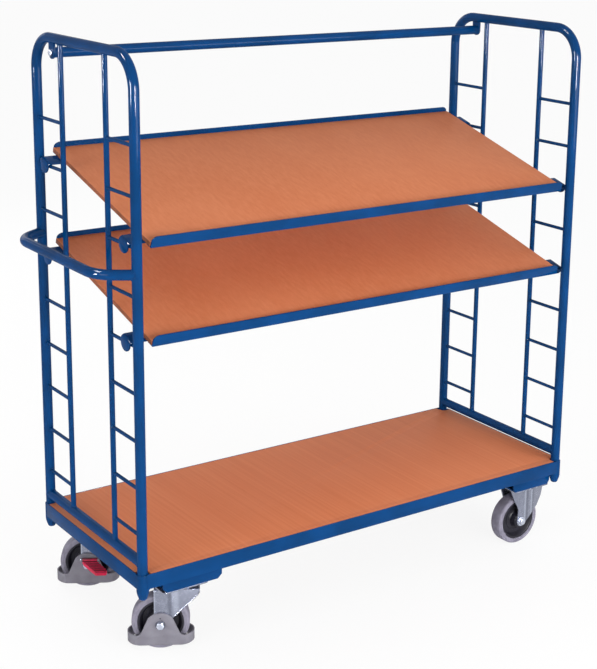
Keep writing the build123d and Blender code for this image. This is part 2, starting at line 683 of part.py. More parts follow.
def hook(side):
    # strap at the right end, bent down over the rung, its end rounded
    half = STRAP_WIDTH / 2
    inner = SHELF_BOARD_HALF - 70
    strap = block(inner, arc_x, -half, half, RIM_LOW, RIM_LOW + RIM_STEEL)
    ring = rod((arc_x, -half, arc_z), (arc_x, half, arc_z), 2 * (HOOK_R + RIM_STEEL))
    ring = ring - rod((arc_x, -half, arc_z), (arc_x, half, arc_z), 2 * HOOK_R)
    ring = ring & block(arc_x, plate_x + RIM_STEEL, -half, half, arc_z, RIM_LOW + 2 * RIM_STEEL)
    disc = rod((plate_x, 0, arc_z), (plate_x + RIM_STEEL, 0, arc_z), STRAP_WIDTH)
    disc = disc & block(plate_x, plate_x + RIM_STEEL, -half, half, arc_z - half, arc_z)
    shape = strap + ring + disc
    if side < 0:
        shape = Rot(0, 0, 180) * shape
    return shape


shelf_board = block(
    -SHELF_BOARD_HALF,
    SHELF_BOARD_HALF,
    -RIM_U + RIM_STEEL + GAP,
    RIM_U - RIM_STEEL - GAP,
    BOARD_LOW,
    BOARD_LOW + SHELF_THICK,
)
cross_rails = []
cross_end = RIM_U - RIM_STEEL - 5
for sx in (-1, 1):
    x = sx * CROSS_X
    bar = block(x - CROSS_WIDTH / 2, x + CROSS_WIDTH / 2, -cross_end, cross_end, RIM_LOW - 3, RIM_LOW)
    cross_rails.append(bar)
screws = []
screw_top = BOARD_LOW + 7
for sx, u in SCREWS:
    shelf_board = shelf_board - rod((sx, u, 0), (sx, u, screw_top + 0.5), SCREW + 0.04)
    cross_rails = [bar - rod((sx, u, 0), (sx, u, RIM_LOW + 1), SCREW + 1) for bar in cross_rails]
    low = RIM_LOW - 4
    screw = rod((sx, u, low), (sx, u, screw_top), SCREW)
    pan = turned([(0, low - 2.2), (3, low - 2.2), (5, low - 1), (5, low + 0.6), (0, low + 0.6)])
    screws.append(screw + pan.moved(Location((sx, u, 0))))
hooks = []
for side in (-1, 1):
    for u in (-HOOK_U, HOOK_U):
        hooks.append(Pos(0, u, 0) * hook(side))

for name, step in (("upper", RUNG_COUNT - 3), ("lower", RUNG_COUNT - 5)):
    middle = RUNG_Z0 + (step + 0.5) * RUNG_STEP
    place = Pos(0, 0, middle) * Rot(TILT, 0, 0)
    emit(name + "_shelf_board", [place * shelf_board])
    emit(name + "_shelf_front_rim", [place * rim(-1)])
    emit(name + "_shelf_rear_rim", [place * rim(1)])
    emit(name + "_shelf_cross_rails", [place * s for s in cross_rails])
    emit(name + "_shelf_hooks", [place * s for s in hooks])
    emit(name + "_shelf_screws", [place * s for s in screws])
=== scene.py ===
# %% [markdown]
# A two-sided shelf trolley: a blue painted steel frame with two ladder ends, a flush wood-look deck, two
# lift-off shelves that slope to the front, a push handle, and four casters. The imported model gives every
# piece its true place, so this file only has to dress it: finishes, softened edges, weld beads, wheels.

import json
import math
import random

import bpy
from mathutils import Matrix, Vector


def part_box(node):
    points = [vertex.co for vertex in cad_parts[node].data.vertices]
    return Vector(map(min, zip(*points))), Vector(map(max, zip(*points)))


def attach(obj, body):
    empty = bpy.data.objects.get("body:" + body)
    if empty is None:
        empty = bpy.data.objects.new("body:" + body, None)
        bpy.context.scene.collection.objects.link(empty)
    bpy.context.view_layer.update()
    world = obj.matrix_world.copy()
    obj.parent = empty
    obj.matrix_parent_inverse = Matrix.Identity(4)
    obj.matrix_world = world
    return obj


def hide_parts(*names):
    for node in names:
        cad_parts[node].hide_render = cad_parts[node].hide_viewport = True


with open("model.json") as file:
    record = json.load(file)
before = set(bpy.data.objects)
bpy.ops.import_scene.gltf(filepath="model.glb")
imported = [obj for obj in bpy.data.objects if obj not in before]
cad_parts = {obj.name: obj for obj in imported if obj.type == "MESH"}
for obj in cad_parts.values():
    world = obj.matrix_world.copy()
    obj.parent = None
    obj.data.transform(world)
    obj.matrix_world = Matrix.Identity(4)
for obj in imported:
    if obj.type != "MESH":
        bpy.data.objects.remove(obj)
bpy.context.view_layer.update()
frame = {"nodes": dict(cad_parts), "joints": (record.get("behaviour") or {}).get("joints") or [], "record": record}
NODES = frame["nodes"]

# %% [markdown]
# The photograph fixes the camera. Its place and turn come from fitting known corners of the trolley, and
# the picture is cut so that the lens axis is not in its middle, which Blender calls shift. Lens and shift
# both count against the longer side of the picture. The camera could also be turned by eye with a Track To
# constraint, but then no edge would lie on its edge in the photograph.

# %% Camera
PICTURE = (597, 669)  # pixels
FOCAL_PIXELS = 1494.3
LENS_AXIS = (340.8, 259.8)
ORIGIN_MOVED = 0.04275  # the fit was made about the deck, whose middle lies this far from the box's
CAMERA_PLACE = (-2.4372 + ORIGIN_MOVED, -3.5386, 2.0475)
YAW = math.radians(35.526)
PITCH = math.radians(14.052)
ROLL = math.radians(0.915)
SENSOR = 36.0


def add_camera():
    bpy.ops.object.camera_add(location=CAMERA_PLACE)
    camera = bpy.context.object
    camera.name = "photo_camera"
    turn = Matrix.Rotation(-YAW, 4, "Z") @ Matrix.Rotation(math.pi / 2 - PITCH, 4, "X")
    turn = turn @ Matrix.Rotation(ROLL, 4, "Z")
    camera.matrix_world = Matrix.Translation(CAMERA_PLACE) @ turn
    longer = max(PICTURE)
    camera.data.sensor_width = SENSOR
    camera.data.lens = FOCAL_PIXELS * SENSOR / longer
    camera.data.shift_x = (PICTURE[0] / 2 - LENS_AXIS[0]) / longer
    camera.data.shift_y = (LENS_AXIS[1] - PICTURE[1] / 2) / longer
    camera.data.clip_end = 60
    bpy.context.scene.camera = camera
    return camera


lens = add_camera().data
print("lens", round(lens.lens, 2), "shift", round(lens.shift_x, 4), round(lens.shift_y, 4))

# %% [markdown]
# Materials in Blender are graphs of nodes. Writing maths with nodes by hand is slow to read, so a small
# class wraps a socket: adding or multiplying two of them adds the Math node. Colours never go through a
# Math node, because it would turn them grey, so they are blended with a Mix node instead.


# %% Shader helpers
class Val:
    """One output socket that can be used in sums."""

    def __init__(self, shade, socket):
        self.shade = shade
        self.socket = socket

    def _math(self, operation, *values):
        return self.shade.add("ShaderNodeMath", dict(enumerate(values)), operation=operation)

    def __add__(self, other):
        return self._math("ADD", self, other)

    __radd__ = __add__

    def __sub__(self, other):
        return self._math("SUBTRACT", self, other)

    def __mul__(self, other):
        return self._math("MULTIPLY", self, other)

    __rmul__ = __mul__

    def __gt__(self, other):
        return self._math("GREATER_THAN", self, other)

    def __lt__(self, other):
        return self._math("LESS_THAN", self, other)

    def abs(self):
        return self._math("ABSOLUTE", self)


class Shade:
    """One material: its nodes, its Principled shader and short names for the nodes used here."""

    def __init__(self, name):
        self.material = bpy.data.materials.new(name)
        self.material.use_nodes = True
        self.tree = self.material.node_tree
        self.shader = self.tree.nodes["Principled BSDF"]
        self.where = self.add("ShaderNodeTexCoord", {}, out="Object")

    def add(self, kind, values, out=0, **settings):
        """A node of a kind: its settings are set first, then its sockets get values or links."""
        node = self.tree.nodes.new(kind)
        for key, value in settings.items():
            setattr(node, key, value)
        for key, value in values.items():
            if isinstance(value, Val):
                self.tree.links.new(value.socket, node.inputs[key])
            else:
                node.inputs[key].default_value = value
        return Val(self, node.outputs[out])

    def noise(self, where, scale, detail=2.0, roughness=0.5):
        values = {"Vector": where, "Scale": scale, "Detail": detail, "Roughness": roughness}
        return self.add("ShaderNodeTexNoise", values)

    def stretch(self, x, y, z):
        return self.add("ShaderNodeMapping", {"Vector": self.where, "Scale": (x, y, z)})

    def ramp(self, value, low, high):
        return self.add("ShaderNodeMapRange", {"Value": value, "From Min": low, "From Max": high})

    def blend(self, first, second, amount):
        return self.add("ShaderNodeMix", {0: amount, 6: first, 7: second}, out=2, data_type="RGBA")

    def facing(self, axis):
        normal = self.add("ShaderNodeNewGeometry", {}, out="Normal")
        return self.add("ShaderNodeSeparateXYZ", {0: normal}, out=axis)

    def finish(self, colour, rough, bump=None, depth=0.0, metallic=0.0, coat=0.0, coat_rough=0.1, spec=0.5):
        """Fill the shader. A bump stands up by its depth in metres, and spec is the plain shine."""
        inputs = self.shader.inputs
        for name, value in (("Base Color", colour), ("Roughness", rough), ("Metallic", metallic)):
            if isinstance(value, Val):
                self.tree.links.new(value.socket, inputs[name])
            else:
                inputs[name].default_value = value
        inputs["Coat Weight"].default_value = coat
        inputs["Coat Roughness"].default_value = coat_rough
        inputs["Specular IOR Level"].default_value = spec
        if bump is not None:
            values = {"Height": bump, "Strength": 1.0, "Distance": depth}
            relief = self.add("ShaderNodeBump", values, out="Normal")
            self.tree.links.new(relief.socket, inputs["Normal"])
        return self.material


def rgb(red, green, blue):
    """A screen colour of 0 to 255 a channel, made linear for the shader."""
    parts = []
    for value in (red, green, blue):
        share = value / 255
        parts.append(share / 12.92 if share <= 0.04045 else ((share + 0.055) / 1.055) ** 2.4)
    return (*parts, 1.0)


print("powder coat blue, linear", [round(part, 4) for part in rgb(3, 57, 109)[:3]])

# %% [markdown]
# The frame is powder coated. Powder melts into a thick glossy skin with a very fine orange-peel ripple,
# and it lies a little darker or lighter from place to place. One small noise bends the normal, one large
# noise moves colour and gloss. An image texture could do this too, but noise has no seams on tubes, and it
# keeps its true size on every piece.

# %% Blue powder coat
def blue_paint():
    shade = Shade("blue_powder_coat")
    ripple = shade.noise(shade.where, 330, 2.0)
    cloud = shade.noise(shade.where, 9, 3.0)
    dust = shade.noise(shade.where, 90, 4.0, 0.65)
    body = shade.blend(rgb(2, 50, 95), rgb(3, 57, 109), shade.ramp(cloud, 0.35, 0.65))
    body = shade.blend(body, rgb(8, 67, 123), shade.ramp(dust, 0.62, 0.85) * 0.3)
    rough = 0.16 + 0.08 * cloud
    return shade.finish(body, rough, ripple, 0.00003, coat=0.2, coat_rough=0.06, spec=0.0)


BLUE = blue_paint()
print("material", BLUE.name)

# %% [markdown]
# The boards are chipboard with a beech-look laminate: a warm, even tone with thin streaks that run the
# short way and short darker flecks between them. The sawn edge carries a thin dark band, which shows as a
# line round each board. The streaks come from noise that is stretched a hundred times along one axis. The
# edge is found by the way its face looks, so no part of the mesh has to be painted by hand.

# %% Beech laminate
def beech(name, painted_underside_shade=False):
    shade = Shade(name)
    streak = shade.noise(shade.stretch(95, 0.9, 95), 1.0, 4.0, 0.6)
    wide = shade.noise(shade.stretch(11, 0.35, 11), 1.0, 3.0, 0.5)
    fleck = shade.noise(shade.stretch(420, 12, 420), 1.0, 2.0, 0.5)
    cloud = shade.noise(shade.where, 2.2, 2.0)
    body = shade.blend(rgb(192, 111, 73), rgb(208, 129, 90), shade.ramp(streak, 0.25, 0.75) * 0.8)
    body = shade.blend(body, rgb(190, 107, 70), shade.ramp(wide, 0.42, 0.7) * 0.3)
    body = shade.blend(body, rgb(210, 132, 94), shade.ramp(cloud, 0.45, 0.75) * 0.4)
    mark = shade.ramp(fleck, 0.62, 0.76)
    body = shade.blend(body, rgb(160, 84, 50), mark * 0.16)
    edge = shade.facing("Z").abs() < 0.5
    body = shade.blend(body, rgb(132, 76, 54), edge * 0.85)
    # Painted shade: faces that look down are darkened, because the deck's underside lies in shade.
    if painted_underside_shade:
        under = shade.facing("Z") < -0.5
        body = shade.blend(body, rgb(74, 58, 50), under * 0.9)
    rough = 0.50 + 0.10 * streak
    return shade.finish(body, rough, streak - mark * 0.4, 0.00004, spec=0.06)


BEECH = beech("beech_laminate")
# The deck's copy darkens its underside with painted shade.
DECK_BEECH = beech("deck_beech_laminate", painted_underside_shade=True)
print("materials", BEECH.name, DECK_BEECH.name)

# %% [markdown]
# Forks, bolts and race plates are bright zinc: a pale bluish metal with faint clouds from the plating bath
# and fine rolling lines. The metal shader does the rest, because it mirrors what stands around it. Where the
# sheet of a pressed fork turns, light and shade fall in soft bands. Real folds that small would cost many faces,
# so the material paints these bands into the colour instead, as painted shade and painted highlight, measured
# from the wheel axle by a Mapping node.

# %% Zinc and steel
def zinc(name, light=rgb(144, 148, 164), dark=rgb(126, 130, 146), origin=None, turn=0.0, fold_shading=()):
    """Zinc plate. Fold shading is painted shade and painted highlight in bands about an origin: place, half width,
    colour and strength.
    """
    shade = Shade(name)
    cloud = shade.noise(shade.where, 60, 3.0, 0.5)
    line = shade.noise(shade.stretch(60, 60, 900), 1.0, 2.0)
    body = shade.blend(dark, light, shade.ramp(cloud, 0.2, 0.8))
    if origin is not None:
        values = {"Vector": shade.where, "Location": origin, "Rotation": (0, 0, turn)}
        own = shade.add("ShaderNodeMapping", values, vector_type="TEXTURE")
        along = shade.add("ShaderNodeSeparateXYZ", {0: own}, out="X")
        # Each band paints shade or highlight into the zinc where the sheet turns.
        for centre, half, colour, strength in fold_shading:
            shading_band = shade.ramp((along - centre).abs(), half, half * 0.25)
            body = shade.blend(body, colour, shading_band * strength)
    rough = 0.20 + 0.08 * cloud + 0.05 * line
    return shade.finish(body, rough, line + cloud * 0.5, 0.00004, metallic=0.92)


def hard_steel():
    shade = Shade("ground_steel")
    grain = shade.noise(shade.where, 1200, 2.0)
    return shade.finish(rgb(205, 207, 212), 0.14 + 0.1 * grain, grain, 0.00001, metallic=1.0)


ZINC = zinc("bright_zinc")
BOLT_ZINC = zinc("bolt_zinc", rgb(206, 210, 222), rgb(168, 174, 190))
# A darker copy of the zinc: painted shade for the washers' flat faces and the fork lips.
PAINTED_SHADE_ZINC = zinc("zinc_with_painted_shade", rgb(112, 114, 126), rgb(92, 94, 106))
STEEL = hard_steel()
print("metals", [material.name for material in (ZINC, BOLT_ZINC, PAINTED_SHADE_ZINC, STEEL)])

# %% [markdown]
# The tread is grey rubber, the wheel centre and the foot guard are moulded plastic, and the bush is a paler
# one. None of them is one flat grey: a fine grain takes the shine off, and a wide cloud shifts the tone. The
# pedal is crimson, and its top is darker, mottled by a noise. The darkening lies only on faces that look
# up, and the shader can tell these by their normal, so the pedal needs no second material.

# %% Rubber and plastics
def rubber():
    shade = Shade("grey_tread_rubber")
    grain = shade.noise(shade.where, 900, 3.0, 0.7)
    cloud = shade.noise(shade.where, 40, 3.0)
    body = shade.blend(rgb(110, 107, 121), rgb(131, 128, 143), shade.ramp(cloud, 0.3, 0.7))
    return shade.finish(body, 0.6 + 0.14 * grain, grain, 0.00005, spec=0.12)


def moulded(name, light, dark, rough, grain_size=700, depth=0.00004, spec=0.5):
    shade = Shade(name)
    grain = shade.noise(shade.where, grain_size, 3.0, 0.6)
    cloud = shade.noise(shade.where, 30, 3.0)
    body = shade.blend(dark, light, shade.ramp(cloud, 0.3, 0.7))
    return shade.finish(body, rough + 0.12 * grain, grain, depth, spec=spec)


def pedal_plastic():
    """Crimson plastic, darker on the faces that look up."""
    shade = Shade("red_pedal_plastic")
    grain = shade.noise(shade.where, 600, 3.0, 0.6)
    cloud = shade.noise(shade.where, 30, 3.0)
    top_mottle = shade.noise(shade.where, 140, 4.0, 0.7)
    body = shade.blend(rgb(176, 12, 52), rgb(204, 20, 72), shade.ramp(cloud, 0.3, 0.7))
    # Faces that look up are darkened and made rougher, mottled by a noise.
    top_darkening = (shade.facing("Z") > 0.5) * (0.6 + 0.4 * shade.ramp(top_mottle, 0.35, 0.65))
    body = shade.blend(body, rgb(104, 30, 48), top_darkening)
    return shade.finish(body, 0.36 + 0.12 * grain + 0.15 * top_darkening, grain, 0.00005, coat=0.04, spec=0.2)


RUBBER = rubber()
HUB = moulded("dark_wheel_centre", rgb(30, 29, 41), rgb(18, 17, 27), 0.42, spec=0.22)
GUARD = moulded("grey_guard_plastic", rgb(117, 115, 124), rgb(105, 103, 112), 0.5, 500, 0.00006, spec=0.12)
RED = pedal_plastic()
BUSH = moulded("pale_bush_plastic", rgb(206, 204, 196), rgb(188, 186, 178), 0.4)
print("materials", len(bpy.data.materials))

# %% [markdown]
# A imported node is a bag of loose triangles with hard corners. A copy is merged into one skin, its flat
# faces are joined again, and every sharp corner gets a small round, because no real steel edge is a
# perfect line and the round is what catches the light. The round could come from a Bevel node in the
# material, but then the meshes themselves would keep their knife edges.

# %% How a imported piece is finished
SHARP = math.radians(32)
MERGE = 0.000002
FLAT = math.radians(0.6)


def deselect():
    if bpy.context.object and bpy.context.object.mode != "OBJECT":
        bpy.ops.object.mode_set(mode="OBJECT")
    bpy.ops.object.select_all(action="DESELECT")


def take(piece):
    deselect()
    piece.select_set(True)
    bpy.context.view_layer.objects.active = piece


def round_edges(piece, width):
    take(piece)
    rounding = piece.modifiers.new("round_edges", "BEVEL")
    rounding.width = width
    rounding.segments = 2
    rounding.limit_method = "ANGLE"
    rounding.angle_limit = SHARP
    bpy.ops.object.modifier_apply(modifier=rounding.name)


def set_finish(piece, material):
    piece.data.materials.clear()
    piece.data.materials.append(material)


def body_of_node(node):
    bodies = frame["record"]["behaviour"]["bodies"]
    return next(body for body, members in bodies.items() if node in members)


def finished_copy(node, material, width=0.0):
    source = NODES[node]
    piece = bpy.data.objects.new(node + "_piece", source.data.copy())
    bpy.context.scene.collection.objects.link(piece)
    take(piece)
    bpy.ops.object.mode_set(mode="EDIT")
    bpy.ops.mesh.select_all(action="SELECT")
    bpy.ops.mesh.remove_doubles(threshold=MERGE)
    bpy.ops.mesh.dissolve_limited(angle_limit=FLAT)
    bpy.ops.object.mode_set(mode="OBJECT")
    if width:
        round_edges(piece, width)
    bpy.ops.object.shade_smooth_by_angle(angle=SHARP)
    set_finish(piece, material)
    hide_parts(node)
    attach(piece, body_of_node(node))
    return piece


print("edges sharper than", round(math.degrees(SHARP)), "degrees are rounded")

# %% [markdown]
# The folded steel plates, the boards and the small bolts already have their true shape, so each is a
# finished copy with its own edge: sheet steel is rounded by a little over half a millimetre, a laminate edge
# by a little less, and a bolt head by less still.

# %% Plates, boards and bolts
PLATES = ["deck_" + part for part in ("front_rail", "rear_rail", "left_rail", "right_rail", "cross_members")]
PLATES += ["corner_sockets", "caster_supports", "rail_brackets"]
for name in ("upper", "lower"):
    PLATES += [name + "_shelf_" + part for part in ("front_rim", "rear_rim", "cross_rails", "hooks")]
BOLTS = ["rail_bolts", "caster_bolts", "caster_nuts", "fixed_axles", "upper_shelf_screws", "lower_shelf_screws"]
PLATE_EDGE = 0.0006
BOARD_EDGE = 0.0005
BOLT_EDGE = 0.0003
KINGPIN_EDGE = 0.0004
PRESSED_EDGE = 0.0008
for node in PLATES:
    finished_copy(node, BLUE, PLATE_EDGE)
finished_copy("deck_board", DECK_BEECH, BOARD_EDGE)
for node in ("upper_shelf_board", "lower_shelf_board"):
    finished_copy(node, BEECH, BOARD_EDGE)
for node in BOLTS:
    finished_copy(node, BOLT_ZINC, BOLT_EDGE)
finished_copy("swivel_plates", ZINC, PRESSED_EDGE)
finished_copy("swivel_kingpins", BOLT_ZINC, KINGPIN_EDGE)
finished_copy("swivel_balls", STEEL)

# %% [markdown]
# Each caster is a pressed fork, an axle bolt and a bush. The swivel ones add a foot guard and a pedal. Every
# fork has its own zinc, because its bands of painted shade and painted highlight along the folds are measured
# from its own wheel axle. The washers on a swivel axle get a second material, a darker zinc that paints on the
# shade of their flat faces, picked by how far each face lies from the middle of the axle. They could be
# objects of their own, but the imported bolt already holds them.

# %% Casters without their wheels
FORK_EDGE = 0.0009
WASHER_REACH = 0.0422
CASTERS = ("front_swivel", "rear_swivel", "front_fixed", "rear_fixed")
# Bands of painted shade and painted highlight along each fork's folds: place from the axle, half width, colour and
# strength.
FOLD_PAINTED_SHADE = rgb(92, 96, 110)
FOLD_PAINTED_HIGHLIGHT = rgb(168, 174, 190)
SWIVEL_FOLD_SHADING = [(0.026, 0.008, FOLD_PAINTED_SHADE, 0.6), (0.043, 0.011, FOLD_PAINTED_HIGHLIGHT, 0.6)]
SWIVEL_FOLD_SHADING += [(-0.016, 0.0035, FOLD_PAINTED_HIGHLIGHT, 0.7)]
FIXED_FOLD_SHADING = [(0.015, 0.005, FOLD_PAINTED_HIGHLIGHT, 0.8), (0.024, 0.007, FOLD_PAINTED_SHADE, 0.5)]
FIXED_FOLD_SHADING += [(0.043, 0.0045, FOLD_PAINTED_HIGHLIGHT, 0.9), (0.051, 0.006, FOLD_PAINTED_SHADE, 0.4)]


def joint_named(name):
    return next(joint for joint in frame["joints"] if joint["name"] == name)


def axle_turn(joint):
    """How far a wheel's axle is turned from straight across the trolley."""
    return -math.atan2(joint["axis"][0], joint["axis"][1])


# The washer faces get painted shade: the darker copy of the zinc.
def paint_washer_shade(bolt, joint):
    bolt.data.materials.append(PAINTED_SHADE_ZINC)
    middle_of_axle = Vector(joint["pos_m"])
    for face in bolt.data.polygons:
        reach = abs((face.center - middle_of_axle).dot(Vector(joint["axis"])))
        if reach < WASHER_REACH:
            face.material_index = 1


for name in CASTERS:
    axle = joint_named(name + "_wheel_spin")
    fold_shading = SWIVEL_FOLD_SHADING if "swivel" in name else FIXED_FOLD_SHADING
    plated = zinc(name + "_fork_zinc", origin=axle["pos_m"], turn=axle_turn(axle), fold_shading=fold_shading)
    finished_copy(name + "_fork", plated, FORK_EDGE)
for name in ("front", "rear"):
    bolt = finished_copy(name + "_swivel_axle", BOLT_ZINC, BOLT_EDGE)
    paint_washer_shade(bolt, joint_named(name + "_swivel_wheel_spin"))
    finished_copy(name + "_pedal_pin", BOLT_ZINC, BOLT_EDGE)
    finished_copy(name + "_swivel_guard", GUARD, PRESSED_EDGE)
    finished_copy(name + "_brake_pedal", RED, PRESSED_EDGE)
for name in CASTERS:
    finished_copy(name + "_bearing", BUSH, BOLT_EDGE)

# %% [markdown]
# Each wheel is a dark moulded centre with a grey tread moulded round it. Both are turned shapes. They start
# as a cylinder, and each end face is inset to a smaller circle and slid in or out, again and again, which
# draws the section from the rim to the hub one ring at a time. Spinning a drawn profile would give the same
# shape. Insets start from a closed solid, so the faces look outward from the first step to the last.

# %% Turned shapes
TURN_SIDES = 96
HAIR = 0.0001
CENTRED = 0.001
BORE_CENTRED = 0.0005


def drum(name, radius, half):
    deselect()
    bpy.ops.mesh.primitive_cylinder_add(vertices=TURN_SIDES, radius=radius, depth=2 * half, location=(0, 0, 0))
    piece = bpy.context.object
    piece.name = name
    return piece


def pick(piece, kind, wanted):
    """Select in edit mode the faces, asked by centre and normal, or the edges, asked by both ends."""
    take(piece)
    bpy.ops.object.mode_set(mode="EDIT")
    bpy.ops.mesh.select_mode(type=kind)
    bpy.ops.mesh.select_all(action="DESELECT")
    bpy.ops.object.mode_set(mode="OBJECT")
    mesh = piece.data
    if kind == "FACE":
        for face in mesh.polygons:
            face.select = wanted(face.center, face.normal)
    else:
        for edge in mesh.edges:
            ends = [mesh.vertices[i].co for i in edge.vertices]
            edge.select = wanted(ends[0], ends[1])
    bpy.ops.object.mode_set(mode="EDIT")


def turn_ends(piece, start, steps_in):
    """Draw both end faces inward: each step is a smaller radius than the last, and its height."""
    for side in (-1, 1):
        radius, height = start
        pick(piece, "FACE", lambda c, n: abs(n.z) > 0.9 and c.xy.length < CENTRED and c.z * side > 0)
        for new_radius, new_height in steps_in:
            bpy.ops.mesh.inset(thickness=radius - new_radius)
            bpy.ops.transform.translate(value=(0, 0, side * (new_height - height)))
            radius, height = new_radius, new_height
        bpy.ops.object.mode_set(mode="OBJECT")


def open_bore(piece):
    """Take the two last end faces out and join their rims into a bore."""
    pick(piece, "FACE", lambda c, n: abs(n.z) > 0.9 and c.xy.length < BORE_CENTRED)
    bpy.ops.mesh.delete(type="FACE")
    bpy.ops.mesh.select_mode(type="EDGE")
    bpy.ops.mesh.select_all(action="DESELECT")
    bpy.ops.mesh.select_non_manifold()
    bpy.ops.mesh.bridge_edge_loops()
    bpy.ops.mesh.select_all(action="SELECT")
    bpy.ops.mesh.normals_make_consistent(inside=False)
    bpy.ops.object.mode_set(mode="OBJECT")


print("turned shapes have", TURN_SIDES, "sides")

# %% [markdown]
# The tread has broad round shoulders, a flat ring on its side and a small step where it meets the centre. The
# centre falls into a shallow dish with one raised ring, and rises again to the hub that carries the bush.
# Each list below gives these rings from the rim inward, as a radius and a half width in metres.

# %% Tread and wheel centre
WHEEL_R = 0.080
TREAD_HALF = 0.022
SHOULDER = 0.0075
RIM_R = 0.064
RIM_HALF = 0.0195
TREAD_STEPS = [
    (0.0705, TREAD_HALF),
    (0.0700, 0.0214),
    (0.0660, 0.0214),
    (0.0655, 0.0206),
    (RIM_R + HAIR, 0.0204),
]
HUB_STEPS = [
    (0.0632, 0.0203),
    (0.0585, 0.0203),
    (0.0568, 0.0190),
    (0.0520, 0.0075),
    (0.0500, 0.0052),
    (0.0385, 0.0060),
    (0.0375, 0.0078),
    (0.0350, 0.0078),
    (0.0340, 0.0060),
    (0.0270, 0.0072),
    (0.0240, 0.0100),
    (0.0220, 0.0290),
    (0.0205, 0.0305),
    (0.0121, 0.0305),
]


def tread(name):
    piece = drum(name, WHEEL_R, TREAD_HALF)
    pick(piece, "EDGE", lambda a, b: a.xy.length > WHEEL_R - 0.001 and abs(a.z - b.z) < HAIR)
    bpy.ops.mesh.bevel(offset=SHOULDER, segments=7, affect="EDGES", clamp_overlap=False)
    bpy.ops.object.mode_set(mode="OBJECT")
    turn_ends(piece, (WHEEL_R - SHOULDER, TREAD_HALF), TREAD_STEPS)
    open_bore(piece)
    bpy.ops.object.shade_smooth_by_angle(angle=SHARP)
    return piece


def wheel_centre(name):
    piece = drum(name, RIM_R, RIM_HALF)
    turn_ends(piece, (RIM_R, RIM_HALF), HUB_STEPS)
    open_bore(piece)
    bpy.ops.object.shade_smooth_by_angle(angle=SHARP)
    return piece


def on_joint(piece, joint, turn):
    """Put a piece that was drawn about the world's origin on a joint, with the place in its mesh."""
    take(piece)
    piece.matrix_world = Matrix.Translation(joint["pos_m"]) @ turn
    bpy.ops.object.transform_apply(location=True, rotation=True, scale=True)


WHEEL_PARTS = (("tyre", tread, RUBBER, "grey_tread"), ("hub", wheel_centre, HUB, "dark_hub"))
UP = Vector((0, 0, 1))
for name in CASTERS:
    axle = joint_named(name + "_wheel_spin")
    turn = UP.rotation_difference(Vector(axle["axis"])).to_matrix().to_4x4()
    for kind, maker, material, slot in WHEEL_PARTS:
        node = name + "_" + kind
        piece = maker(node + "_piece")
        on_joint(piece, axle, turn)
        set_finish(piece, material)
        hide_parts(node)
        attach(piece, name + "_wheel")
    print(name, "wheel centre", [round(value, 3) for value in piece.dimensions])

# %% [markdown]
# The frame is bent and cut from round tube, so each tube is swept again along its true centre line with a
# circle fine enough to stay round up close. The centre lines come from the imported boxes: a tube's line lies
# one radius inside its box.

# %% Centre lines
TUBE_R = 0.014
UPRIGHT_R = 0.0075
RUNG_R = 0.005


def middle(node, axis):
    low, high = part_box(node)
    return (low[axis] + high[axis]) / 2


END_X = {"left": middle("left_end_tube", 0), "right": middle("right_end_tube", 0)}
POST_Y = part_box("left_end_tube")[1].y - TUBE_R
UPRIGHT_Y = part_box("inner_uprights")[1].y - UPRIGHT_R
TOP_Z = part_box("left_end_tube")[1].z - TUBE_R
CROSSBAR_Z = middle("end_crossbars", 2)
RUNG_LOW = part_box("left_rungs")[0].z + RUNG_R
RUNG_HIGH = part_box("left_rungs")[1].z - RUNG_R
RUNGS = 9
HANDLE_Z = middle("push_handle", 2)
HANDLE_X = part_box("push_handle")[0].x + TUBE_R
HANDLE_LEAN = math.radians(33)
END_BEND = 0.090
HANDLE_BEND = 0.085
RUNG_HEIGHTS = [RUNG_LOW + (RUNG_HIGH - RUNG_LOW) * i / (RUNGS - 1) for i in range(RUNGS)]
print("rung heights", [round(height, 3) for height in RUNG_HEIGHTS])

# %% [markdown]
# Corners are arcs, laid by turning from one straight run into the next. A curve object with a round bevel
# draws the tube, and Convert makes it a mesh. A row of cylinders would leave a kink in every bend.

# %% How a tube is swept
ARC_STEP = math.radians(3)
BAR_SMOOTH = math.radians(50)


def rounded_path(corners, radius):
    """Points along straight runs whose corners are arcs of the given radius."""
    corners = [Vector(c) for c in corners]
    points = [corners[0]]
    for before, corner, after in zip(corners, corners[1:], corners[2:]):
        first = (before - corner).normalized()
        second = (after - corner).normalized()
        half = first.angle(second) / 2
        centre = corner + (first + second).normalized() * (radius / math.sin(half))
        start = corner + first * (radius / math.tan(half)) - centre
        end = corner + second * (radius / math.tan(half)) - centre
        turn = start.angle(end)
        count = max(4, round(turn / ARC_STEP))
        for i in range(count + 1):
            points.append(centre + start.slerp(end, i / count) * radius)
    points.append(corners[-1])
    return points


def swept(name, paths, radius, sides=28):
    """One mesh of round bars, each swept along its own path."""
    curve = bpy.data.curves.new(name, "CURVE")
    curve.dimensions = "3D"
    curve.bevel_depth = radius
    curve.bevel_resolution = sides // 4 - 1
    curve.use_fill_caps = True
    for path in paths:
        spline = curve.splines.new("POLY")
        spline.points.add(len(path) - 1)
        for point, place in zip(spline.points, path):
            point.co = (*place, 1)
    piece = bpy.data.objects.new(name, curve)
    bpy.context.scene.collection.objects.link(piece)
    take(piece)
    bpy.ops.object.convert(target="MESH")
    bpy.ops.object.shade_smooth_by_angle(angle=BAR_SMOOTH)
    return bpy.context.object


def tube(node, paths, radius, sides=28):
    piece = swept(node + "_piece", paths, radius, sides)
    set_finish(piece, BLUE)
    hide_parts(node)
    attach(piece, "chassis")
    print(node, [round(value, 3) for value in piece.dimensions])


# %% [markdown]
# Each end frame is one long tube bent into an upside-down U, with a crossbar, two thin uprights and two
# stacks of rungs. The push handle leans out from the posts before it bends. Branches run on to the middle of
# the tube that they meet, as if each had been cut to fit, and the weld bead covers the joint.

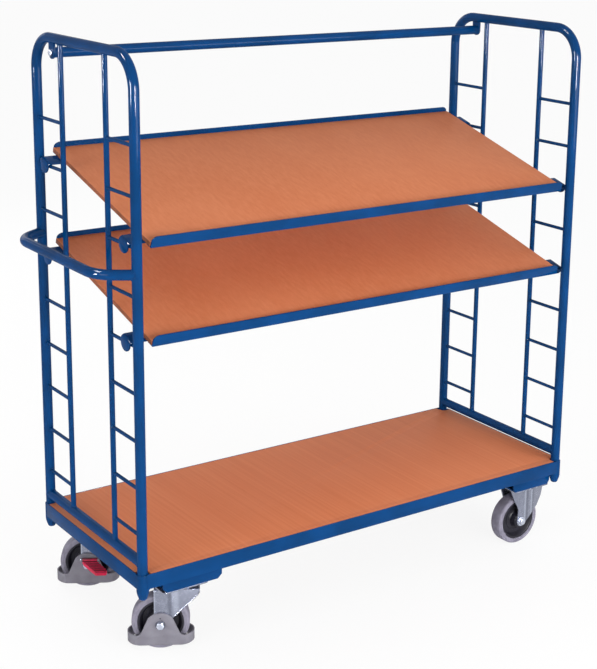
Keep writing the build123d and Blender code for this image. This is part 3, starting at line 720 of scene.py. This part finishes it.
# %% The tubes of the frame
def end_tubes():
    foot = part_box("left_end_tube")[0].z
    for name, x in END_X.items():
        corners = [(x, -POST_Y, foot), (x, -POST_Y, TOP_Z), (x, POST_Y, TOP_Z), (x, POST_Y, foot)]
        tube(name + "_end_tube", [rounded_path(corners, END_BEND)], TUBE_R, 48)
    bars = [[(x, -POST_Y, CROSSBAR_Z), (x, POST_Y, CROSSBAR_Z)] for x in END_X.values()]
    tube("end_crossbars", bars, TUBE_R, 48)


def ladders():
    uprights = []
    for name, x in END_X.items():
        rungs = []
        for face in (-1, 1):
            y = face * UPRIGHT_Y
            uprights.append([(x, y, CROSSBAR_Z), (x, y, TOP_Z)])
            rungs += [[(x, y, z), (x, face * POST_Y, z)] for z in RUNG_HEIGHTS]
        tube(name + "_rungs", rungs, RUNG_R)
    tube("inner_uprights", uprights, UPRIGHT_R, 32)


def handle_and_rail():
    x = END_X["left"]
    corner_y = POST_Y - (x - HANDLE_X) * math.tan(HANDLE_LEAN)
    corners = [(x, -POST_Y, HANDLE_Z), (HANDLE_X, -corner_y, HANDLE_Z)]
    corners += [(HANDLE_X, corner_y, HANDLE_Z), (x, POST_Y, HANDLE_Z)]
    tube("push_handle", [rounded_path(corners, HANDLE_BEND)], TUBE_R, 48)
    low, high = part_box("top_rail")
    y, z = middle("top_rail", 1), middle("top_rail", 2)
    tube("top_rail", [[(low.x, y, z), (high.x, y, z)]], TUBE_R, 48)


end_tubes()
ladders()
handle_and_rail()

# %% [markdown]
# Every joint of the frame is welded, and under the paint each weld still shows as a low bead that runs round
# the crease. Where one round tube meets another square on, the crease is a saddle: a point that lies some
# way to the side of the branch sits at the root of radius squared less that distance squared. One curve
# object holds a closed spline for each crease, a round bevel gives it thickness, and the point radius swells
# and shrinks so that the bead looks laid down in steps. A bump in the paint would show no bead at the outline.

# %% How a bead is laid
RIPPLE = 0.16
UNEVEN = 0.08
steps = random.Random(11)


def saddle(centre, main, branch, main_radius, branch_radius, count):
    """The crease where a branch tube meets a main tube square on."""
    across = main.cross(branch)
    points = []
    for i in range(count):
        turn = 2 * math.pi * i / count
        side = branch_radius * math.cos(turn)
        along = branch_radius * math.sin(turn)
        reach = math.sqrt(max(main_radius**2 - side**2, 0))
        points.append(centre + across * side + main * along + branch * reach)
    return points


def lay_bead(curve, points, thick, closed):
    spline = curve.splines.new("POLY")
    spline.points.add(len(points) - 1)
    for i, (point, place) in enumerate(zip(spline.points, points)):
        point.co = (*place, 1)
        point.radius = thick * (1 + RIPPLE * math.sin(2.1 * i) + steps.uniform(-UNEVEN, UNEVEN))
    spline.use_cyclic_u = closed


def bead_object(name, jobs, sides=2):
    curve = bpy.data.curves.new(name, "CURVE")
    curve.dimensions = "3D"
    curve.bevel_depth = 1.0
    curve.bevel_resolution = sides
    curve.use_fill_caps = True
    for points, thick, closed in jobs:
        lay_bead(curve, points, thick, closed)
    piece = bpy.data.objects.new(name, curve)
    bpy.context.scene.collection.objects.link(piece)
    take(piece)
    bpy.ops.object.convert(target="MESH")
    piece = bpy.context.object
    bpy.ops.object.shade_smooth()
    set_finish(piece, BLUE)
    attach(piece, "chassis")
    print(name, "runs", len(jobs), "faces", len(piece.data.polygons))


# %% [markdown]
# On the end frames a bead runs round each end of every crossbar, upright and rung, and round both ends of
# the handle. The thinner the branch, the thinner its bead. Nothing is welded between the shelves and the
# frame, because the shelves lift off.

# %% Beads of the end frames
CROSSBAR_BEAD = 0.0017
UPRIGHT_BEAD = 0.0016
RUNG_BEAD = 0.0012
HANDLE_BEAD = 0.0018


def frame_beads():
    jobs = []
    for x in END_X.values():
        for face in (-1, 1):
            out = Vector((0, face, 0))
            post = Vector((x, face * POST_Y, 0))
            upright = Vector((x, face * UPRIGHT_Y, 0))
            jobs.append((saddle(post + UP * CROSSBAR_Z, UP, -out, TUBE_R, TUBE_R, 64), CROSSBAR_BEAD, True))
            for end, way in ((CROSSBAR_Z, UP), (TOP_Z, -UP)):
                crease = saddle(upright + UP * end, out, way, TUBE_R, UPRIGHT_R, 36)
                jobs.append((crease, UPRIGHT_BEAD, True))
    return jobs


def rung_beads():
    jobs = []
    for x in END_X.values():
        for face in (-1, 1):
            out = Vector((0, face, 0))
            for height in RUNG_HEIGHTS:
                post = Vector((x, face * POST_Y, height))
                upright = Vector((x, face * UPRIGHT_Y, height))
                jobs.append((saddle(post, UP, -out, TUBE_R, RUNG_R, 18), RUNG_BEAD, True))
                jobs.append((saddle(upright, UP, out, UPRIGHT_R, RUNG_R, 18), RUNG_BEAD, True))
    return jobs


def handle_beads():
    jobs = []
    for face in (-1, 1):
        post = Vector((END_X["left"], face * POST_Y, HANDLE_Z))
        away = Vector((-math.cos(HANDLE_LEAN), -face * math.sin(HANDLE_LEAN), 0))
        jobs.append((saddle(post, UP, away, TUBE_R, TUBE_R, 64), HANDLE_BEAD, True))
    return jobs


bead_object("frame_weld_beads", frame_beads())
bead_object("rung_weld_beads", rung_beads(), sides=1)
bead_object("handle_weld_beads", handle_beads())

# %% [markdown]
# At each corner of the deck a ring of weld holds the post in its socket, two upright beads close the corner
# of the rails, and a thick fillet under the rails blends the socket into them. The top rail hangs from two flat
# brackets, each welded along both edges. The upright beads stay a little inside the corner, so that the
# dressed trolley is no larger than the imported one.

# %% Beads of the deck and the brackets
RING_R = 0.0146
FILLET_R = 0.0175
BEAD_PITCH = 0.003
SOCKET_BEAD = 0.0012
CORNER_BEAD = 0.0011
FILLET_BEAD = 0.0034
BRACKET_BEAD = 0.0013
CORNER_INSET = 0.0013
FILLET_DROP = 0.0015
BEAD_FOOT = 0.002
BRACKET_THICK = 0.005


def straight(start, end):
    start, end = Vector(start), Vector(end)
    count = max(2, round((end - start).length / BEAD_PITCH))
    return [start.lerp(end, i / count) for i in range(count + 1)]


def round_socket(corner, rim_z):
    turns = [2 * math.pi * i / 40 for i in range(40)]
    return [Vector((corner.x + RING_R * math.cos(t), corner.y + RING_R * math.sin(t), rim_z)) for t in turns]


def under_socket(corner, side, face):
    turns = [math.radians(-40 + 170 * i / 24) for i in range(25)]
    return [corner + Vector((-side * math.cos(t), -face * math.sin(t), 0)) * FILLET_R for t in turns]


def deck_beads():
    jobs = []
    rim_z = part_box("corner_sockets")[1].z
    low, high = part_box("deck_front_rail")
    foot = low.z + BEAD_FOOT
    for x in END_X.values():
        side = 1 if x > 0 else -1
        edge = high.x if side > 0 else low.x
        for face in (-1, 1):
            corner = Vector((x, face * POST_Y, low.z - FILLET_DROP))
            y = face * (abs(low.y) - CORNER_INSET)
            jobs.append((round_socket(corner, rim_z), SOCKET_BEAD, True))
            jobs.append((straight((edge, y, foot), (edge, y, rim_z)), CORNER_BEAD, False))
            jobs.append((under_socket(corner, side, face), FILLET_BEAD, False))
    low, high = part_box("deck_left_rail")
    foot = low.z + BEAD_FOOT
    left_x = low.x + CORNER_INSET
    right_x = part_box("deck_right_rail")[1].x - CORNER_INSET
    for edge in (low.y, high.y):
        for x in (left_x, right_x):
            jobs.append((straight((x, edge, foot), (x, edge, rim_z)), CORNER_BEAD, False))
    low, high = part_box("rail_brackets")
    under = TOP_Z - TUBE_R
    start_y, end_y = low.y + BEAD_FOOT, high.y - BEAD_FOOT
    for x in (low.x, low.x + BRACKET_THICK, high.x - BRACKET_THICK, high.x):
        jobs.append((straight((x, start_y, under), (x, end_y, under)), BRACKET_BEAD, False))
    return jobs


bead_object("deck_weld_beads", deck_beads(), sides=1)

# %% [markdown]
# The wing of each swivel fork ends in a rolled lip, which stiffens the thin steel. It is a round bar swept
# along the free edge of the wing, drawn about the wheel axle and then turned with the caster. The foot guard
# has a small dark mark above the axle bolt, a low dome that starts as a disc and is raised ring by ring.

# %% Fork lips and guard marks
LIP_EDGE = [(0.0395, 0.0235), (0.070, 0.0535), (0.1022, 0.0853), (0.1062, 0.0925), (0.1070, 0.0985)]
LIP_FACE = 0.0325
LIP_R = 0.0016
MARK_R = 0.0021
MARK_SIDE = 0.0006
MARK_RINGS = [(0.0006, 0.0003), (0.0007, 0.0001)]  # inward, up
MARK_RISE = 0.0200
GUARD_FACE = 0.0395


def set_on_axle(piece, joint):
    on_joint(piece, joint, Matrix.Rotation(axle_turn(joint), 4, "Z"))


def fork_lips(name, axle):
    paths = [[(x, face * LIP_FACE, z) for x, z in LIP_EDGE] for face in (-1, 1)]
    piece = swept(name + "_fork_lips", paths, LIP_R, 12)
    set_on_axle(piece, axle)
    # The lips take the darker zinc of painted shade.
    set_finish(piece, PAINTED_SHADE_ZINC)
    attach(piece, name)
    return piece


def guard_mark(name, axle):
    deselect()
    bpy.ops.mesh.primitive_circle_add(vertices=20, radius=MARK_R, fill_type="NGON", location=(0, 0, 0))
    piece = bpy.context.object
    piece.name = name + "_guard_mark"
    bpy.ops.object.mode_set(mode="EDIT")
    bpy.ops.mesh.select_all(action="SELECT")
    bpy.ops.mesh.extrude_region_move()
    bpy.ops.transform.translate(value=(0, 0, MARK_SIDE))
    for inward, rise in MARK_RINGS:
        bpy.ops.mesh.inset(thickness=inward)
        bpy.ops.transform.translate(value=(0, 0, rise))
    bpy.ops.object.mode_set(mode="OBJECT")
    side = -1 if name.startswith("front") else 1  # the face away from the pedal
    take(piece)
    spot = Matrix.Translation((0, side * GUARD_FACE, MARK_RISE))
    piece.matrix_world = spot @ Matrix.Rotation(-side * math.pi / 2, 4, "X")
    bpy.ops.object.transform_apply(location=True, rotation=True, scale=True)
    set_on_axle(piece, axle)
    set_finish(piece, HUB)
    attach(piece, name)
    return piece


for name in ("front_swivel", "rear_swivel"):
    axle = joint_named(name + "_wheel_spin")
    lips = fork_lips(name, axle)
    mark = guard_mark(name, axle)
    print(name, [[round(value, 3) for value in piece.dimensions] for piece in (lips, mark)])

# %% [markdown]
# A plain studio: a wide pale floor, a white world, and soft square lamps. The world is white where the
# camera, a shiny surface or glass looks at it, and dimmer as a lamp, so the object keeps its own colours.
# Three more panels are seen by shiny skins alone. They give the bends of the tubes their bright streaks,
# and their places come from the streaks: the normal at a streak halves the angle from camera to panel.

# %% Floor and world
FLOOR_GLOW = 0.88
WORLD_DIM = 0.71


def studio():
    bpy.ops.mesh.primitive_plane_add(size=400, location=(0, 0, 0))
    floor = bpy.context.object
    floor.name = "studio_floor"
    shade = Shade("studio_floor_white")
    shade.finish((0.9, 0.9, 0.9, 1), 0.6)
    rays = shade.add("ShaderNodeLightPath", {}, out="Is Camera Ray")
    glossy = shade.add("ShaderNodeLightPath", {}, out="Is Glossy Ray")
    glow = shade.add("ShaderNodeEmission", {"Color": (1, 1, 1, 1), "Strength": 1.0}, out="Emission")
    amount = (rays + glossy) * FLOOR_GLOW
    mixed = shade.add("ShaderNodeMixShader", {0: amount, 1: Val(shade, shade.shader.outputs[0]), 2: glow})
    output = shade.tree.nodes["Material Output"]
    shade.tree.links.new(mixed.socket, output.inputs["Surface"])
    floor.data.materials.append(shade.material)


def white_world():
    world = bpy.context.scene.world or bpy.data.worlds.new("studio")
    bpy.context.scene.world = world
    world.use_nodes = True
    tree = world.node_tree
    tree.nodes.clear()
    output = tree.nodes.new("ShaderNodeOutputWorld")
    background = tree.nodes.new("ShaderNodeBackground")
    rays = tree.nodes.new("ShaderNodeLightPath")
    seen = tree.nodes.new("ShaderNodeMath")
    seen.operation = "MAXIMUM"
    clear = tree.nodes.new("ShaderNodeMath")
    clear.operation = "MAXIMUM"
    level = tree.nodes.new("ShaderNodeMapRange")
    level.inputs["To Min"].default_value = WORLD_DIM
    tree.links.new(rays.outputs["Is Camera Ray"], seen.inputs[0])
    tree.links.new(rays.outputs["Is Glossy Ray"], seen.inputs[1])
    tree.links.new(seen.outputs[0], clear.inputs[0])
    tree.links.new(rays.outputs["Is Transmission Ray"], clear.inputs[1])
    tree.links.new(clear.outputs[0], level.inputs["Value"])
    tree.links.new(level.outputs[0], background.inputs["Strength"])
    tree.links.new(background.outputs[0], output.inputs["Surface"])
    background.inputs["Color"].default_value = (1, 1, 1, 1)


deselect()
studio()
white_world()
print("world", WORLD_DIM, "as a lamp and 1 to the camera")

# %% [markdown]
# The lamps are large, so their shadows are soft. The panels take the shape of the streaks that they leave: two
# narrow upright ones for the streaks down the posts, and a broad one for the bright top of each bend.

# %% Lamps and shine panels
MIDDLE = (0, 0, 0.8)
BEND = (-0.7, -0.28, 1.6)


def lamp(name, place, aim, size, power, shine_only=False):
    bpy.ops.object.light_add(type="AREA", location=place)
    light = bpy.context.object
    light.name = name
    light.data.shape = "RECTANGLE"
    light.data.size = size[0]
    light.data.size_y = size[1]
    light.data.energy = power
    away = Vector(aim) - Vector(place)
    light.rotation_euler = away.to_track_quat("-Z", "Y").to_euler()
    light.visible_diffuse = not shine_only


lamp("left_fill", (-4.6, -1.8, 1.8), MIDDLE, (1.8, 1.4), 70)
lamp("right_fill", (-0.6, -4.9, 2.0), MIDDLE, (1.8, 1.4), 90)
lamp("front_fill", (1.8, -4.9, 1.35), (0.2, 0, 1.0), (3.6, 1.6), 130)
lamp("back_fill", (-0.4, 5.0, 2.4), MIDDLE, (3.4, 1.8), 45)
lamp("left_panel", (-5.1, -0.1, 1.5), BEND, (0.8, 1.1), 600, shine_only=True)
lamp("right_panel", (-0.8, -4.85, 1.6), BEND, (0.7, 1.3), 700, shine_only=True)
lamp("high_panel", (-3.1, 1.1, 5.1), BEND, (1.6, 1.0), 500, shine_only=True)
bpy.context.scene.view_settings.view_transform = "Standard"
print("lamps", [light.name for light in bpy.data.lights])
